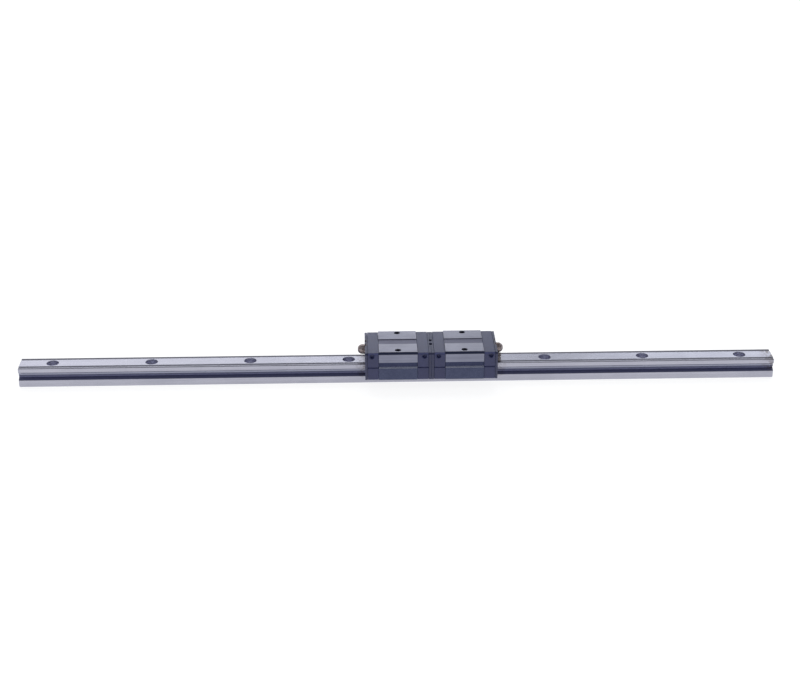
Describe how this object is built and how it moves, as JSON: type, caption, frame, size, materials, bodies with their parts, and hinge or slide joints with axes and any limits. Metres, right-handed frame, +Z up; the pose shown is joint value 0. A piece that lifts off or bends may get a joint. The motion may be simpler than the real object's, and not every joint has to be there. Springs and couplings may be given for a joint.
{
  "type": "profile rail linear guide with two carriages",
  "caption": "Straight profile rail with short recirculating-ball carriages end to end, grease nipples on their outer ends and counterbored rail holes.",
  "frame": {"origin": "middle of the rail's base, on the surface that the rail is bolted to", "axes": "+X along the rail, +Y across it away from the picture's camera, +Z up through the carriages' tops"},
  "size_m": [0.46, 0.034, 0.024],
  "materials": {
    "rail_steel": "ground hardened steel, with a dark unground neck",
    "block_steel": "ground steel on the pads and side faces, dark unground steel elsewhere",
    "end_plate_plastic": "moulded dark blue-grey plastic, fine grain",
    "seal_rubber": "moulded dark rubber",
    "guide_plastic": "moulded plastic",
    "ball_steel": "polished bearing steel",
    "screw_steel": "blackened steel",
    "nipple_brass": "dull brownish brass, slightly oily",
    "spring_steel": "drawn spring wire"
  },
  "bodies": {
    "rail": {"rail": "rail_steel"},
    "left_carriage": {"left_block": "block_steel", "left_outer_end_plate": "end_plate_plastic", "left_outer_end_seal": "seal_rubber", "left_outer_front_end_screw": "screw_steel", "left_outer_front_upper_return_guide": "guide_plastic", "left_outer_front_lower_return_guide": "guide_plastic", "left_outer_rear_end_screw": "screw_steel", "left_outer_rear_upper_return_guide": "guide_plastic", "left_outer_rear_lower_return_guide": "guide_plastic", "left_inner_end_plate": "end_plate_plastic", "left_inner_end_seal": "seal_rubber", "left_inner_front_end_screw": "screw_steel", "left_inner_front_upper_return_guide": "guide_plastic", "left_inner_front_lower_return_guide": "guide_plastic", "left_inner_rear_end_screw": "screw_steel", "left_inner_rear_upper_return_guide": "guide_plastic", "left_inner_rear_lower_return_guide": "guide_plastic", "left_front_side_seal": "seal_rubber", "left_front_upper_ball_chain": "ball_steel", "left_front_lower_ball_chain": "ball_steel", "left_rear_side_seal": "seal_rubber", "left_rear_upper_ball_chain": "ball_steel", "left_rear_lower_ball_chain": "ball_steel", "left_grease_nipple": "nipple_brass", "left_nipple_spring": "spring_steel", "left_grease_plug": "screw_steel"},
    "left_nipple_valve": {"left_nipple_ball": "ball_steel"},
    "right_carriage": {"right_block": "block_steel", "right_outer_end_plate": "end_plate_plastic", "right_outer_end_seal": "seal_rubber", "right_outer_front_end_screw": "screw_steel", "right_outer_front_upper_return_guide": "guide_plastic", "right_outer_front_lower_return_guide": "guide_plastic", "right_outer_rear_end_screw": "screw_steel", "right_outer_rear_upper_return_guide": "guide_plastic", "right_outer_rear_lower_return_guide": "guide_plastic", "right_inner_end_plate": "end_plate_plastic", "right_inner_end_seal": "seal_rubber", "right_inner_front_end_screw": "screw_steel", "right_inner_front_upper_return_guide": "guide_plastic", "right_inner_front_lower_return_guide": "guide_plastic", "right_inner_rear_end_screw": "screw_steel", "right_inner_rear_upper_return_guide": "guide_plastic", "right_inner_rear_lower_return_guide": "guide_plastic", "right_front_side_seal": "seal_rubber", "right_front_upper_ball_chain": "ball_steel", "right_front_lower_ball_chain": "ball_steel", "right_rear_side_seal": "seal_rubber", "right_rear_upper_ball_chain": "ball_steel", "right_rear_lower_ball_chain": "ball_steel", "right_grease_nipple": "nipple_brass", "right_nipple_spring": "spring_steel", "right_grease_plug": "screw_steel"},
    "right_nipple_valve": {"right_nipple_ball": "ball_steel"}
  },
  "joints": [
    {"name": "left_carriage_slide", "type": "slide", "parent": "rail", "child": "left_carriage", "axis": [1, 0, 0], "range_m": [-0.205, 0]},
    {"name": "right_carriage_slide", "type": "slide", "parent": "rail", "child": "right_carriage", "axis": [1, 0, 0], "range_m": [0, 0.165]},
    {"name": "left_nipple_valve_slide", "type": "slide", "parent": "left_carriage", "child": "left_nipple_valve", "axis": [1, 0, 0], "range_m": [0, 0.0005], "stiffness_N_per_m": 60, "springref_m": -0.0006},
    {"name": "right_nipple_valve_slide", "type": "slide", "parent": "right_carriage", "child": "right_nipple_valve", "axis": [1, 0, 0], "range_m": [-0.0005, 0], "stiffness_N_per_m": 60, "springref_m": 0.0006}
  ]
}
